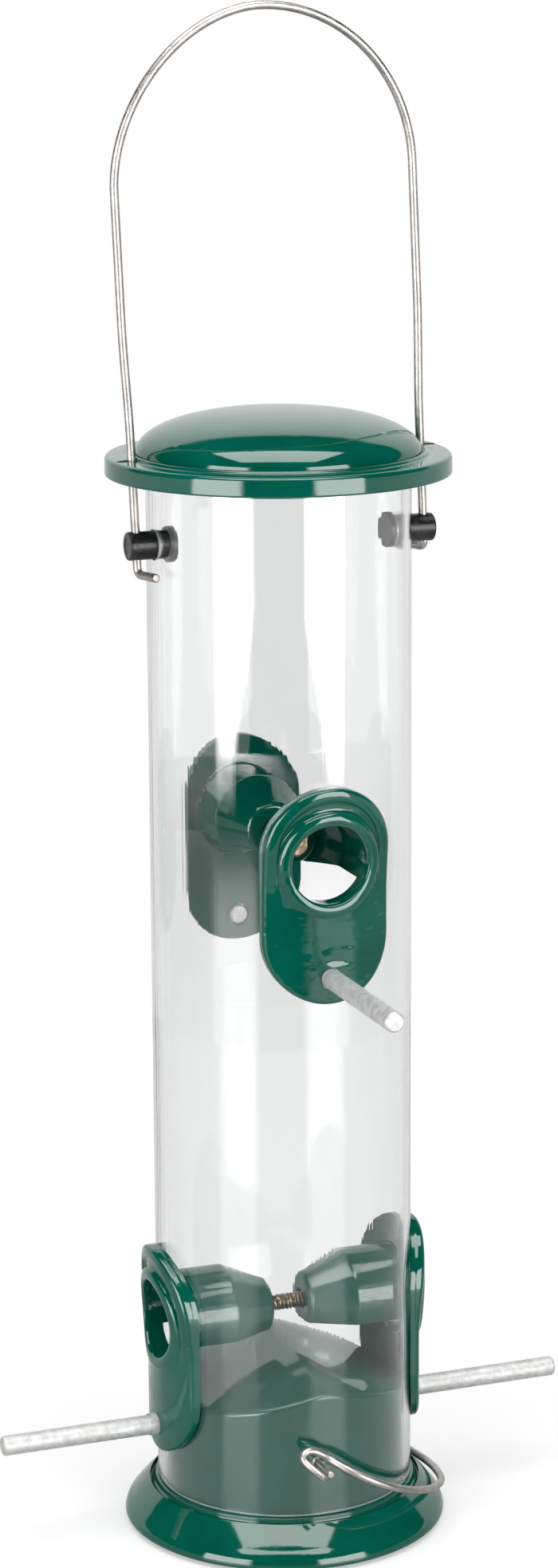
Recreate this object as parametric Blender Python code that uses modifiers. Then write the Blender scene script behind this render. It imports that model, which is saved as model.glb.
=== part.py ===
"""Hanging tube bird feeder: clear tube, cast lid, four cast ports, cast base, wire bail, locking clip.

Units are metres and +Z is up. The origin is the centre of the base's underside. The lower pair of
ports and the bail lie along X, the upper pair of ports lies along Y.
"""
import math

import bmesh
import bpy
from mathutils import Matrix, Vector

# Fits and resolution
CLEARANCE = 0.0003
SEGMENTS = 48
HOLE_SEGMENTS = 24
ROD_SEGMENTS = 24
MERGE_DISTANCE = 0.00001
EDGE_BREAK = 0.0004
# Distance that a cutter runs past the wall it cuts
OVERRUN = 0.004

# Tube
TUBE_RADIUS = 0.03175
TUBE_WALL = 0.0016
TUBE_LENGTH = 0.2540
TUBE_INNER_RADIUS = TUBE_RADIUS - TUBE_WALL

# Base casting
BASE_SEAT_HEIGHT = 0.0111
BASE_RADIUS = TUBE_RADIUS + 0.0084
BASE_WALL = 0.0022
BASE_WIDEST_HEIGHT = 0.0024
BASE_FLARE_START = TUBE_RADIUS + 0.0007
BASE_FLARE_BULGE = 1.15
BASE_FLARE_STEPS = 6
BASE_FOOT_RADIUS = BASE_RADIUS - 0.0042
# Steps in from the widest radius and heights round the foot's bottom edge
BASE_FOOT_EDGE = ((0.0003, 0.0014), (0.0012, 0.0006), (0.0025, 0.0002))
UPSTAND_RADIUS = TUBE_INNER_RADIUS - CLEARANCE
UPSTAND_EDGE_ROUND = 0.0015
DEFLECTOR_PEAK = BASE_SEAT_HEIGHT + 0.0339
DEFLECTOR_SLOPE = 0.41
DEFLECTOR_CROWN = 0.0035
DEFLECTOR_RIDGE_ROUND = 0.0030
DEFLECTOR_RINGS = (0.0, 0.004, 0.009, 0.014, 0.019, 0.024)
TUBE_BOTTOM = BASE_SEAT_HEIGHT + CLEARANCE
TUBE_TOP = TUBE_BOTTOM + TUBE_LENGTH

# Ports: a wrapped cover plate outside the tube and a barrel inside it
LOWER_PERCH_HEIGHT = BASE_SEAT_HEIGHT + 0.0167
PORT_ROW_SPACING = 0.1200
PORT_AXIS_ABOVE_PERCH = 0.0277
PLATE_HALF_WIDTH = 0.0159
PLATE_ABOVE_AXIS = 0.0185
PLATE_BELOW_AXIS = 0.0341
PLATE_THICKNESS = 0.0019
HOOD_THICKNESS = 0.0032
COVE_THICKNESS = 0.0023
COLLAR_THICKNESS = 0.0035
COLLAR_FOOT_THICKNESS = 0.0022
PLATE_EDGE_ROUND = 0.0008
PLATE_ARC_STEPS = 12
PLATE_SIDE_STEPS = 4
PLATE_SEAT_RADIUS = TUBE_RADIUS + CLEARANCE
FEED_HOLE_RADIUS = 0.0096
BARREL_RADIUS = FEED_HOLE_RADIUS + 0.0018
COLLAR_RADIUS = FEED_HOLE_RADIUS + 0.0032
BARREL_KNEE = TUBE_RADIUS - 0.01605
BARREL_CUT_BELOW_AXIS = 0.0048
BARREL_CUT_SHORT_OF_TUBE = 0.0010
BARREL_CUT_MARGIN = 0.0008
BARREL_FLOOR_AFTER_KNEE = 0.0020
NOSE_FACE = 0.0046
NOSE_FACE_RADIUS = 0.0056
NOSE_CHAMFER = 0.0005
NOSE_RADIUS = 0.0072
NOSE_SHOULDER = 0.0062
NOSE_FLOOR = 0.0092
NOSE_FLOOR_RADIUS = 0.0054
NOSE_FLOOR_CORNER = 0.0014

# Draw screws, one through each pair of opposite barrels
SCREW_RADIUS = 0.0020
SCREW_HEAD_RADIUS = 0.0033
SCREW_HEAD_LENGTH = 0.0024
SCREW_HEAD_CHAMFER = 0.0006
SCREW_TIP = 0.0086

# Perches
PERCH_RADIUS = 0.00245
PERCH_REACH = TUBE_RADIUS + 0.04205
PERCH_ROOT = TUBE_INNER_RADIUS + 0.0005

# Wire bail, its pegs and its lean in their loose holes
BAIL_WIRE_RADIUS = 0.00103
BAIL_LEG_HALF_SPACING = TUBE_RADIUS + 0.00485
BAIL_ARCH_RADIUS = TUBE_RADIUS + 0.0055
BAIL_ARCH_TOP = 0.1247
# Height where each half of the arch starts and how full its shoulder is: 2 is an ellipse
BAIL_ARCH_SIDES = {-1: (0.0846, 1.84), 1: (0.0862, 2.0)}
BAIL_ARCH_STEPS = 13
BAIL_SPLAY_START = 0.0250
BAIL_SPLAY_END = 0.0550
BAIL_SPLAY_STEPS = 6
# Drop of the hook on the left and right legs
BAIL_HOOK_DROP = {-1: 0.0053, 1: 0.0063}
BAIL_HOOK_LENGTH = 0.0080
BAIL_HOOK_INWARD = math.radians(16)
BAIL_BEND_RADIUS = 0.0016
BAIL_BEND_STEPS = 4
BAIL_LEAN = math.radians(2.4)
BAIL_SHIFT = 0.0007
PEG_HEIGHT = TUBE_TOP - 0.0169
PEG_RADIUS = 0.0034
PEG_LENGTH = 0.0118
PEG_HEAD_RADIUS = 0.0043
PEG_HEAD_LENGTH = 0.0018
PEG_END_PAST_WIRE = 0.0022

# Lid casting
LID_RADIUS = TUBE_RADIUS + 0.0097
LID_RIM_HEIGHT = 0.0046
LID_RIM_DROP = 0.0017
LID_WALL = 0.0020
LID_EDGE_ROUND = 0.0012
LID_SEAT_BOSS = TUBE_RADIUS + 0.0011
DOME_RADIUS = TUBE_RADIUS + 0.0024
DOME_RISE = 0.0102
DOME_BASE_ABOVE_RIM = 0.0003
DOME_FULLNESS = 2.5
DOME_STEPS = 8
DOME_INSIDE_DEPTH = 0.0070
DOME_INSIDE_STEPS = 4
BEAD_INNER_RADIUS = DOME_RADIUS + 0.0004
BEAD_OUTER_RADIUS = DOME_RADIUS + 0.0014
BEAD_HEIGHT = 0.0007
BEAD_FOOT = 0.0005
SKIRT_WALL = 0.0019
SKIRT_CLEARANCE = 0.0006
SKIRT_DEPTH = 0.0036
SLOT_HALF_WIDTH = 0.0015
SLOT_INNER = BAIL_LEG_HALF_SPACING - BAIL_WIRE_RADIUS - CLEARANCE
SLOT_LENGTH = 0.0051

# Locking clip: a pin through tube and base, with a loop that hangs down on the +X side
CLIP_WIRE_RADIUS = 0.00095
CLIP_PIN_X = -0.0028
CLIP_PIN_HEIGHT = BASE_SEAT_HEIGHT + 0.0138
CLIP_SIDE_DROP = 0.01414
CLIP_DROOP = math.atan(CLIP_SIDE_DROP / TUBE_RADIUS)
CLIP_PIN_TIP = -TUBE_RADIUS - 0.0080
# Route in the clip's own plane: degrees round from square to the pin, millimetres out from the
# tube's radius, and millimetres up off the plane
CLIP_LOOP = (
    (90.0, 1.3, 0.0), (89.0, 4.5, 0.0), (85.5, 7.2, -0.1), (79.0, 9.7, -0.3), (66.0, 12.3, -0.8),
    (52.0, 12.8, -1.2), (36.0, 12.9, -1.1), (19.0, 13.8, -0.6), (1.0, 14.7, 0.1), (-16.5, 13.8, 0.6),
    (-33.5, 12.5, 1.0), (-50.5, 12.3, 1.3), (-65.0, 12.0, 1.5), (-73.5, 11.0, 1.8), (-80.5, 9.0, 2.1),
    (-86.0, 6.4, 2.4), (-90.0, 3.9, 2.7), (-95.0, 3.1, 3.2), (-99.0, 3.4, 2.8), (-100.5, 4.1, 1.4),
    (-99.0, 4.9, 0.3), (-96.0, 6.7, -0.4), (-94.0, 8.6, -0.7), (-93.0, 9.8, -0.7),
)
CLIP_SMOOTHING_STEPS = 2

# Colours, roughness and metallic value of each material
MATERIALS = {
    "green_enamel": ((0.004, 0.115, 0.075), 0.12, 0.0),
    "clear_tube": ((0.85, 0.87, 0.88), 0.05, 0.0),
    "steel_wire": ((0.62, 0.60, 0.57), 0.22, 1.0),
    "black_plastic": ((0.012, 0.012, 0.013), 0.45, 0.0),
    "brass": ((0.55, 0.38, 0.17), 0.35, 1.0),
    "aluminium": ((0.75, 0.75, 0.74), 0.40, 1.0),
}


def clear_scene():
    """Remove every object that the file starts with."""
    for obj in list(bpy.data.objects):
        bpy.data.objects.remove(obj, do_unlink=True)


def new_collection(name):
    """Add a collection to the scene."""
    collection = bpy.data.collections.new(name)
    bpy.context.scene.collection.children.link(collection)
    return collection


def make_materials():
    """Make one Principled material for each entry in MATERIALS."""
    made = {}
    for name, (colour, roughness, metallic) in MATERIALS.items():
        material = bpy.data.materials.new(name)
        material.use_nodes = True
        shader = material.node_tree.nodes["Principled BSDF"]
        shader.inputs["Base Color"].default_value = (*colour, 1.0)
        shader.inputs["Roughness"].default_value = roughness
        shader.inputs["Metallic"].default_value = metallic
        made[name] = material
    return made


def add_object(name, data, collection):
    """Put data in the scene under a name."""
    obj = bpy.data.objects.new(name, data)
    collection.objects.link(obj)
    return obj


def shade_round(mesh):
    """Shade a mesh smooth, with creases kept sharp."""
    mesh.shade_smooth()
    mesh.set_sharp_from_angle(angle=math.radians(40))


def evaluated_mesh(obj):
    """Copy an object's mesh with its modifiers applied."""
    bpy.context.view_layer.update()
    return bpy.data.meshes.new_from_object(obj.evaluated_get(bpy.context.evaluated_depsgraph_get()))


def turned(name, profile, collection, closed=False, steps=SEGMENTS):
    """Turn a profile of (radius, height) points about Z."""
    mesh = bpy.data.meshes.new(name)
    edges = [(i, i + 1) for i in range(len(profile) - 1)]
    if closed:
        edges.append((len(profile) - 1, 0))
    mesh.from_pydata([(radius, 0.0, height) for radius, height in profile], edges, [])
    obj = add_object(name, mesh, collection)
    screw = obj.modifiers.new("Turn", "SCREW")
    screw.steps = steps
    screw.render_steps = steps
    screw.use_merge_vertices = True
    screw.merge_threshold = MERGE_DISTANCE
    screw.use_smooth_shade = True
    obj.data = evaluated_mesh(obj)
    obj.modifiers.clear()
    shade_round(obj.data)
    return obj


def wire(name, points, radius, collection):
    """Make a round wire with flat ends along a line of points."""
    curve = bpy.data.curves.new(name, "CURVE")
    curve.dimensions = "3D"
    curve.bevel_depth = radius
    curve.bevel_resolution = 2
    curve.use_fill_caps = True
    spline = curve.splines.new("POLY")
    spline.points.add(len(points) - 1)
    for spline_point, point in zip(spline.points, points):
        spline_point.co = (*point, 1.0)
    return add_object(name, curve, collection)


def smooth_path(points, steps):
    """Points along the Catmull-Rom curve through the given points."""
    nodes = [Vector(point) for point in points]
    nodes = [2 * nodes[0] - nodes[1]] + nodes + [2 * nodes[-1] - nodes[-2]]
    path = []
    for before, start, end, after in zip(nodes, nodes[1:], nodes[2:], nodes[3:]):
        for step in range(steps):
            t = step / steps
            path.append(0.5 * (2 * start + (end - before) * t
                               + (2 * before - 5 * start + 4 * end - after) * t ** 2
                               + (3 * start - before - 3 * end + after) * t ** 3))
    path.append(nodes[-2])
    return path


def smoothstep(value):
    """Ease from 0 to 1."""
    t = min(max(value, 0.0), 1.0)
    return t * t * (3 - 2 * t)


def hide_cutter(cutter):
    """Show a cutter as wires only."""
    cutter.hide_render = True
    cutter.display_type = "WIRE"


def cylinder_cutter(name, radius, start, end, collection):
    """A cylinder between two points, for a hole."""
    start = Vector(start)
    end = Vector(end)
    mesh = bpy.data.meshes.new(name)
    bm = bmesh.new()
    bmesh.ops.create_cone(bm, cap_ends=True, segments=HOLE_SEGMENTS, radius1=radius, radius2=radius,
                          depth=(end - start).length)
    bm.to_mesh(mesh)
    bm.free()
    cutter = add_object(name, mesh, collection)
    turn = Vector((0, 0, 1)).rotation_difference(end - start).to_matrix().to_4x4()
    cutter.matrix_world = Matrix.Translation((start + end) / 2) @ turn
    hide_cutter(cutter)
    return cutter


def box_cutter(name, low, high, collection):
    """A box between two corners."""
    low = Vector(low)
    high = Vector(high)
    mesh = bpy.data.meshes.new(name)
    bm = bmesh.new()
    bmesh.ops.create_cube(bm, size=1.0)
    bmesh.ops.scale(bm, vec=high - low, verts=bm.verts)
    bmesh.ops.translate(bm, vec=(low + high) / 2, verts=bm.verts)
    bm.to_mesh(mesh)
    bm.free()
    cutter = add_object(name, mesh, collection)
    hide_cutter(cutter)
    return cutter


def cut(obj, cutters):
    """Take cutters out of an object."""
    for cutter in cutters:
        boolean = obj.modifiers.new("Cut " + cutter.name, "BOOLEAN")
        boolean.object = cutter
        boolean.operation = "DIFFERENCE"


def port_placements():
    """Name, turn about Z and axis height of each port; a turn of 0 faces -Y."""
    lower = LOWER_PERCH_HEIGHT + PORT_AXIS_ABOVE_PERCH
    upper = lower + PORT_ROW_SPACING
    return (("upper_front", 0.0, upper), ("upper_back", math.pi, upper),
            ("lower_right", math.pi / 2, lower), ("lower_left", -math.pi / 2, lower))


def outward(turn):
    """Unit vector that a port at this turn faces."""
    return Vector((math.sin(turn), -math.cos(turn), 0.0))


def bail_leg_x(side):
    """Where the leaning bail wire crosses the pegs' height, on side -1 or +1."""
    return BAIL_SHIFT + side * BAIL_LEG_HALF_SPACING / math.cos(BAIL_LEAN)


def add_tube(collection, cutters):
    """Clear tube with holes for the barrels, perches, pegs and clip pin."""
    inner = TUBE_INNER_RADIUS
    profile = ((inner, TUBE_TOP), (TUBE_RADIUS, TUBE_TOP), (TUBE_RADIUS, TUBE_BOTTOM), (inner, TUBE_BOTTOM))
    tube = turned("tube", profile, collection, closed=True)
    holes = []
    near = TUBE_INNER_RADIUS - OVERRUN
    far = TUBE_RADIUS + OVERRUN
    for place, turn, height in port_placements():
        rise = Vector((0, 0, height))
        drop = Vector((0, 0, PORT_AXIS_ABOVE_PERCH))
        start = outward(turn) * near + rise
        end = outward(turn) * far + rise
        holes.append(cylinder_cutter(f"tube_{place}_barrel_hole", BARREL_RADIUS + CLEARANCE,
                                     start, end, cutters))
        holes.append(cylinder_cutter(f"tube_{place}_perch_hole", PERCH_RADIUS + CLEARANCE,
                                     start - drop, end - drop, cutters))
    for name, side in (("left", -1), ("right", 1)):
        holes.append(cylinder_cutter(f"tube_{name}_peg_hole", PEG_RADIUS + CLEARANCE,
                                     (side * near, 0, PEG_HEIGHT), (side * far, 0, PEG_HEIGHT), cutters))
    holes.append(cylinder_cutter("tube_clip_pin_hole", CLIP_WIRE_RADIUS + CLEARANCE,
                                 (CLIP_PIN_X, -far, CLIP_PIN_HEIGHT), (CLIP_PIN_X, far, CLIP_PIN_HEIGHT),
                                 cutters))
    cut(tube, holes)
    return tube


def deflector_height(x, y):
    """Top surface of the base: a rounded ridge along Y that sheds seed to the lower ports."""
    crown = DEFLECTOR_CROWN * (y / UPSTAND_RADIUS) ** 2
    fall = math.hypot(x, DEFLECTOR_RIDGE_ROUND) - DEFLECTOR_RIDGE_ROUND
    return DEFLECTOR_PEAK - crown - DEFLECTOR_SLOPE * fall


def base_profile():
    """Outline of the base from the top middle round: radius, height, and whether the ridge lifts it."""
    inner = UPSTAND_RADIUS - BASE_WALL
    edge = UPSTAND_EDGE_ROUND
    flare_width = BASE_RADIUS - BASE_FLARE_START
    flare_height = BASE_SEAT_HEIGHT - BASE_WIDEST_HEIGHT
    top = [(radius, 0.0, True) for radius in DEFLECTOR_RINGS]
    top += [(UPSTAND_RADIUS - edge, 0.0, True), (UPSTAND_RADIUS - edge / 3, -edge / 3, True),
            (UPSTAND_RADIUS, -edge, True)]
    outside = [(UPSTAND_RADIUS, BASE_SEAT_HEIGHT, False), (BASE_FLARE_START, BASE_SEAT_HEIGHT, False)]
    for step in range(1, BASE_FLARE_STEPS + 1):
        angle = step / BASE_FLARE_STEPS * math.pi / 2
        across = math.sin(angle) ** (2 / BASE_FLARE_BULGE)
        up = max(math.cos(angle), 0.0) ** (2 / BASE_FLARE_BULGE)
        outside.append((BASE_FLARE_START + flare_width * across, BASE_WIDEST_HEIGHT + flare_height * up,
                        False))
    outside += [(BASE_RADIUS - inward, height, False) for inward, height in BASE_FOOT_EDGE]
    outside += [(BASE_FOOT_RADIUS, 0.0, False), (BASE_FOOT_RADIUS - BASE_WALL, 0.0, False),
                (BASE_FLARE_START, BASE_SEAT_HEIGHT - 2 * BASE_WALL, False),
                (inner, BASE_SEAT_HEIGHT - BASE_WALL, False)]
    underside = [(inner, -2 * BASE_WALL, True), (inner - BASE_WALL, -BASE_WALL, True)]
    underside += [(radius, -BASE_WALL, True) for radius in DEFLECTOR_RINGS[-2::-1]]
    return top + outside + underside


def add_base(collection, cutters):
    """Base casting: flared foot, upstand inside the tube and ridged deflector on top, open below."""
    profile = [(radius, DEFLECTOR_PEAK + height if lifted else height)
               for radius, height, lifted in base_profile()]
    base = turned("base", profile, collection)
    for vertex in base.data.vertices:
        if vertex.co.z > TUBE_BOTTOM:
            vertex.co.z += deflector_height(vertex.co.x, vertex.co.y) - DEFLECTOR_PEAK
    reach = TUBE_RADIUS + OVERRUN
    pin_hole = cylinder_cutter("base_clip_pin_hole", CLIP_WIRE_RADIUS + CLEARANCE,
                               (CLIP_PIN_X, -reach, CLIP_PIN_HEIGHT), (CLIP_PIN_X, reach, CLIP_PIN_HEIGHT),
                               cutters)
    cut(base, [pin_hole])
    return base


def plate_outline(inset):
    """Stadium outline of a port plate about the port axis, from its right side over the top."""
    half = PLATE_HALF_WIDTH - inset
    top_centre = PLATE_ABOVE_AXIS - PLATE_HALF_WIDTH
    bottom_centre = PLATE_HALF_WIDTH - PLATE_BELOW_AXIS
    arc_steps = PLATE_ARC_STEPS
    side_steps = PLATE_SIDE_STEPS
    points = []
    for step in range(arc_steps):
        angle = math.pi * step / arc_steps
        points.append((half * math.cos(angle), top_centre + half * math.sin(angle)))
    for step in range(side_steps):
        points.append((-half, top_centre + (bottom_centre - top_centre) * step / side_steps))
    for step in range(arc_steps):
        angle = math.pi * (1 + step / arc_steps)
        points.append((half * math.cos(angle), bottom_centre + half * math.sin(angle)))
    for step in range(side_steps):
        points.append((half, bottom_centre + (top_centre - bottom_centre) * step / side_steps))
    return points


def circle_outline(radius):
    """Circle about the port axis whose points face those of plate_outline."""
    count = len(plate_outline(0.0))
    upper = PLATE_ARC_STEPS
    lower = count - upper
    angles = [math.pi * step / upper for step in range(upper)]
    angles += [math.pi * (1 + step / lower) for step in range(lower)]
    return [(radius * math.cos(angle), radius * math.sin(angle)) for angle in angles]


def blend_outlines(first, second, share):
    """Outline part of the way from one to another."""
    return [((1 - share) * a[0] + share * b[0], (1 - share) * a[1] + share * b[1])
            for a, b in zip(first, second)]


def wrapped_ring(outline, thickness):
    """Lay an outline on the tube, at a height over the plate's seat given by thickness(x, z)."""
    ring = []
    for x, z in outline:
        radius = PLATE_SEAT_RADIUS + thickness(x, z)
        ring.append(Vector((x, -math.sqrt(radius ** 2 - x ** 2), z)))
    return ring


def flat_ring(radius, distance):
    """Circle square to the port axis, at a distance from the tube's axis."""
    return [Vector((x, -distance, z)) for x, z in circle_outline(radius)]


def raised(top, bottom):
    """Thickness that eases from bottom to top over the middle of the feed hole."""
    def thickness(x, z):
        return bottom + (top - bottom) * smoothstep((z / FEED_HOLE_RADIUS + 1) / 2)
    return thickness


def port_rings():
    """Rings round the port axis: nose face, barrel, plate back, plate face, collar, then the bore."""
    edge = PLATE_EDGE_ROUND
    outline = plate_outline(0.0)
    barrel = circle_outline(BARREL_RADIUS)
    collar = circle_outline(COLLAR_RADIUS)
    hood = raised(HOOD_THICKNESS, PLATE_THICKNESS)
    cove = raised(COVE_THICKNESS, PLATE_THICKNESS)
    lip = raised(COLLAR_THICKNESS, COLLAR_FOOT_THICKNESS)
    bore = FEED_HOLE_RADIUS
    return [
        flat_ring(SCREW_RADIUS + CLEARANCE, NOSE_FACE),
        flat_ring(NOSE_FACE_RADIUS, NOSE_FACE),
        flat_ring(NOSE_RADIUS - NOSE_CHAMFER, NOSE_FACE + NOSE_CHAMFER),
        flat_ring(NOSE_RADIUS, NOSE_SHOULDER),
        flat_ring(BARREL_RADIUS, BARREL_KNEE),
        wrapped_ring(barrel, lambda x, z: 0.0),
        wrapped_ring(blend_outlines(barrel, outline, 0.5), lambda x, z: 0.0),
        wrapped_ring(outline, lambda x, z: 0.0),
        wrapped_ring(outline, lambda x, z: hood(x, z) - edge),
        wrapped_ring(plate_outline(edge), hood),
        wrapped_ring(plate_outline(2 * edge), hood),
        wrapped_ring(blend_outlines(plate_outline(3.5 * edge), collar, 0.15), cove),
        wrapped_ring(blend_outlines(plate_outline(3 * edge), collar, 0.6), cove),
        wrapped_ring(collar, cove),
        wrapped_ring(circle_outline(COLLAR_RADIUS - edge), lip),
        wrapped_ring(circle_outline(bore + edge), lip),
        wrapped_ring(circle_outline(bore), lambda x, z: lip(x, z) - edge),
        flat_ring(bore, BARREL_KNEE + BARREL_FLOOR_AFTER_KNEE),
        flat_ring(NOSE_FLOOR_RADIUS, NOSE_FLOOR + NOSE_FLOOR_CORNER),
        flat_ring(NOSE_FLOOR_RADIUS, NOSE_FLOOR),
        flat_ring(SCREW_RADIUS + CLEARANCE, NOSE_FLOOR),
    ]


def port_mesh(cutters):
    """One port casting about its own axis, facing -Y: loft, open underside and perch hole."""
    rings = port_rings()
    bm = bmesh.new()
    rows = [[bm.verts.new(point) for point in ring] for ring in rings]
    count = len(rows[0])
    for row, after in zip(rows, rows[1:] + rows[:1]):
        for i in range(count):
            j = (i + 1) % count
            bm.faces.new((row[i], row[j], after[j], after[i]))
    bmesh.ops.recalc_face_normals(bm, faces=bm.faces)
    mesh = bpy.data.meshes.new("port_loft")
    bm.to_mesh(mesh)
    bm.free()
    loft = add_object("port_loft", mesh, cutters)
    beside = BARREL_RADIUS + BARREL_CUT_MARGIN
    underside = box_cutter("port_underside",
                           (-beside, BARREL_CUT_SHORT_OF_TUBE - TUBE_INNER_RADIUS, -beside),
                           (beside, OVERRUN, -BARREL_CUT_BELOW_AXIS), cutters)
    perch_hole = cylinder_cutter("port_perch_hole", PERCH_RADIUS + CLEARANCE,
                                 (0, -TUBE_INNER_RADIUS, -PORT_AXIS_ABOVE_PERCH),
                                 (0, -TUBE_RADIUS - 2 * OVERRUN, -PORT_AXIS_ABOVE_PERCH), cutters)
    cut(loft, [underside, perch_hole])
    finished = evaluated_mesh(loft)
    finished.name = "port"
    shade_round(finished)
    bpy.data.objects.remove(loft, do_unlink=True)
    return finished


def add_ports(collection, cutters):
    """Four alike port castings, two opposite pairs."""
    mesh = port_mesh(cutters)
    ports = []
    for place, turn, height in port_placements():
        port = add_object(f"port_{place}", mesh, collection)
        port.location = (0, 0, height)
        port.rotation_euler = (0, 0, turn)
        ports.append(port)
    return ports


def add_perches(collection):
    """Perch rods through the lower end of each port plate."""
    chamfer = EDGE_BREAK
    profile = ((0.0, PERCH_REACH), (PERCH_RADIUS - chamfer, PERCH_REACH),
               (PERCH_RADIUS, PERCH_REACH - chamfer), (PERCH_RADIUS, PERCH_ROOT + chamfer),
               (PERCH_RADIUS - chamfer, PERCH_ROOT), (0.0, PERCH_ROOT))
    perches = []
    for place, turn, height in port_placements():
        perch = turned(f"perch_{place}", profile, collection, steps=ROD_SEGMENTS)
        perch.location = (0, 0, height - PORT_AXIS_ABOVE_PERCH)
        perch.rotation_euler = (math.pi / 2, 0, turn)
        perches.append(perch)
    return perches


def add_screws(collection):
    """Draw screws: the head bears on one barrel's nose floor and the tip ends in the other nose."""
    head_face = NOSE_FLOOR + CLEARANCE
    head_end = head_face + SCREW_HEAD_LENGTH
    chamfer = SCREW_HEAD_CHAMFER
    profile = ((0.0, head_end), (SCREW_HEAD_RADIUS - chamfer, head_end),
               (SCREW_HEAD_RADIUS, head_end - chamfer), (SCREW_HEAD_RADIUS, head_face),
               (SCREW_RADIUS, head_face), (SCREW_RADIUS, EDGE_BREAK - SCREW_TIP),
               (SCREW_RADIUS - EDGE_BREAK, -SCREW_TIP), (0.0, -SCREW_TIP))
    screws = []
    for name, (place, turn, height) in zip(("screw_upper", "screw_lower"), port_placements()[::3]):
        screw = turned(name, profile, collection, steps=ROD_SEGMENTS)
        screw.location = (0, 0, height)
        screw.rotation_euler = (math.pi / 2, 0, turn)
        screws.append(screw)
    return screws


def add_pegs(collection, cutters):
    """Pegs through the tube wall: a head inside, and a cross-hole for the bail wire outside."""
    pegs = []
    for name, side in (("left", -1), ("right", 1)):
        wire_distance = abs(bail_leg_x(side))
        end = wire_distance + PEG_END_PAST_WIRE
        start = end - PEG_LENGTH
        profile = ((0.0, end), (PEG_RADIUS - EDGE_BREAK, end), (PEG_RADIUS, end - EDGE_BREAK),
                   (PEG_RADIUS, start + PEG_HEAD_LENGTH), (PEG_HEAD_RADIUS, start + PEG_HEAD_LENGTH),
                   (PEG_HEAD_RADIUS, start), (0.0, start))
        peg = turned(f"peg_{name}", profile, collection, steps=ROD_SEGMENTS)
        peg.location = (0, 0, PEG_HEIGHT)
        peg.rotation_euler = (0, side * math.pi / 2, 0)
        x = bail_leg_x(side)
        reach = PEG_RADIUS + OVERRUN
        slant = reach * math.tan(BAIL_LEAN)
        hole = cylinder_cutter(f"peg_{name}_wire_hole", BAIL_WIRE_RADIUS + CLEARANCE,
                               (x + slant, 0, PEG_HEIGHT - reach), (x - slant, 0, PEG_HEIGHT + reach), cutters)
        cut(peg, [hole])
        pegs.append(peg)
    return pegs


def bail_hook(side):
    """Hook and bend at the foot of the right or left leg, about the middle of the pegs."""
    toward = Vector((-side * math.sin(BAIL_HOOK_INWARD), side * math.cos(BAIL_HOOK_INWARD), 0))
    leg = Vector((side * BAIL_LEG_HALF_SPACING, 0, -BAIL_HOOK_DROP[side]))
    points = [leg + toward * BAIL_HOOK_LENGTH]
    for step in range(BAIL_BEND_STEPS + 1):
        angle = step / BAIL_BEND_STEPS * math.pi / 2
        points.append(leg + toward * BAIL_BEND_RADIUS * (1 - math.sin(angle))
                      + Vector((0, 0, BAIL_BEND_RADIUS * (1 - math.cos(angle)))))
    return points


def bail_half(side):
    """Right or left half of the bail, from its hook up to just short of the top of the arch."""
    points = bail_hook(side)
    for step in range(BAIL_SPLAY_STEPS + 1):
        share = step / BAIL_SPLAY_STEPS
        spread = BAIL_LEG_HALF_SPACING + (BAIL_ARCH_RADIUS - BAIL_LEG_HALF_SPACING) * smoothstep(share)
        height = BAIL_SPLAY_START + (BAIL_SPLAY_END - BAIL_SPLAY_START) * share
        points.append(Vector((side * spread, 0, height)))
    start, fullness = BAIL_ARCH_SIDES[side]
    for step in range(BAIL_ARCH_STEPS):
        angle = step / BAIL_ARCH_STEPS * math.pi / 2
        points.append(Vector((side * BAIL_ARCH_RADIUS * math.cos(angle) ** (2 / fullness), 0,
                              start + (BAIL_ARCH_TOP - start) * math.sin(angle) ** (2 / fullness))))
    return points


def add_bail(collection):
    """Wire bail: two legs with hooked ends joined by a round arch."""
    points = bail_half(-1) + [Vector((0, 0, BAIL_ARCH_TOP))] + bail_half(1)[::-1]
    bail = wire("bail", points, BAIL_WIRE_RADIUS, collection)
    bail.location = (BAIL_SHIFT, 0, PEG_HEIGHT)
    bail.rotation_euler = (0, -BAIL_LEAN, 0)
    return bail


def dome_points(radius, rim, apex, steps):
    """Points down a full-shouldered dome from its apex to its edge."""
    points = []
    for step in range(steps + 1):
        angle = step / steps * math.pi / 2
        points.append((radius * math.sin(angle) ** (2 / DOME_FULLNESS),
                       rim + (apex - rim) * math.cos(angle)))
    return points


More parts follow.
